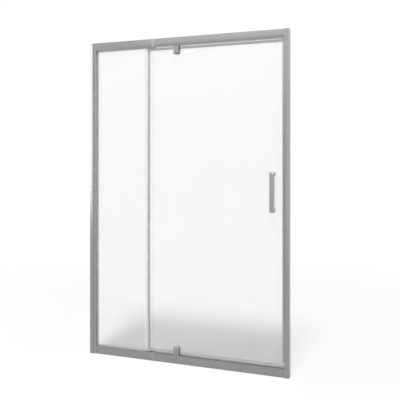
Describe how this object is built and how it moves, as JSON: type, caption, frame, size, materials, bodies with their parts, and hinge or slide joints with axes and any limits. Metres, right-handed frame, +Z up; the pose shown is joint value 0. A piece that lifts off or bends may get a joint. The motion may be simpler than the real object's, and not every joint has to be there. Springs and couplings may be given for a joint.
{
  "type": "shower door",
  "caption": "Framed pivot shower door for a niche: a frosted leaf turning on offset pivots beside a narrow fixed pane, with a bow handle.",
  "frame": {"origin": "on the underside of the sill, midway between the two walls, in the middle plane of the glass", "axes": "+X along the door to the right seen from outside, +Y from outside in, +Z up"},
  "size_m": [1.2, 0.0662, 1.85],
  "materials": {
    "satin_aluminium": "satin anodised",
    "frosted_glass": "frosted",
    "satin_chrome": "satin",
    "clear_seal": "clear",
    "grey_gasket": "soft",
    "grey_plastic": "moulded",
    "white_nylon": "moulded",
    "stainless_steel": "plain",
    "magnet_strip": "matt"
  },
  "bodies": {
    "frame": {"left_wall_profile": "satin_aluminium", "right_wall_profile": "satin_aluminium", "left_profile_cap": "grey_plastic", "right_profile_cap": "grey_plastic", "left_stile": "satin_aluminium", "strike_jamb": "satin_aluminium", "top_rail_fixed": "satin_aluminium", "top_rail_door": "satin_aluminium", "bottom_rail_fixed": "satin_aluminium", "bottom_rail_door": "satin_aluminium", "top_joint_strip": "satin_aluminium", "bottom_joint_strip": "satin_aluminium", "top_rail_splice": "satin_aluminium", "bottom_rail_splice": "satin_aluminium", "frame_corner_blocks": "white_nylon", "frame_screws": "stainless_steel", "clamp_screws": "stainless_steel", "clamp_screw_caps": "grey_plastic", "fixed_glass": "frosted_glass", "fixed_gasket_left": "grey_gasket", "fixed_gasket_top": "grey_gasket", "fixed_gasket_bottom": "grey_gasket", "pocket_fillers": "grey_plastic", "fixed_edge_seal": "clear_seal", "closing_stop": "satin_aluminium", "jamb_magnet": "magnet_strip", "top_pivot_bush": "white_nylon", "bottom_pivot_bush": "white_nylon", "top_pivot_block": "white_nylon", "bottom_pivot_block": "white_nylon", "pivot_block_screws": "stainless_steel"},
    "door": {"door_glass": "frosted_glass", "door_left_stile": "satin_aluminium", "door_right_stile": "satin_aluminium", "door_top_profile_left": "satin_aluminium", "door_top_profile_right": "satin_aluminium", "door_bottom_profile_left": "clear_seal", "door_bottom_profile_right": "clear_seal", "door_corner_top_left": "grey_plastic", "door_corner_top_right": "grey_plastic", "door_corner_bottom_left": "grey_plastic", "door_corner_bottom_right": "grey_plastic", "door_glazing_gaskets": "grey_gasket", "door_magnet": "magnet_strip", "door_seal_strip": "clear_seal", "door_drip_seal": "clear_seal", "top_pivot_bracket": "satin_chrome", "bottom_pivot_bracket": "satin_chrome", "top_pivot_clamp_plate": "satin_chrome", "bottom_pivot_clamp_plate": "satin_chrome", "pivot_pads": "grey_gasket", "top_pivot_pin": "stainless_steel", "bottom_pivot_pin": "stainless_steel", "pivot_bracket_screws": "stainless_steel", "handle": "satin_chrome", "handle_pads": "grey_gasket", "handle_washers": "grey_gasket", "handle_caps": "satin_chrome", "handle_screws": "stainless_steel"}
  },
  "joints": [
    {"name": "door_pivot", "type": "hinge", "parent": "frame", "child": "door", "pos_m": [-0.043, 0, 0], "axis": [0, 0, -1], "range_deg": [0, 90]}
  ]
}
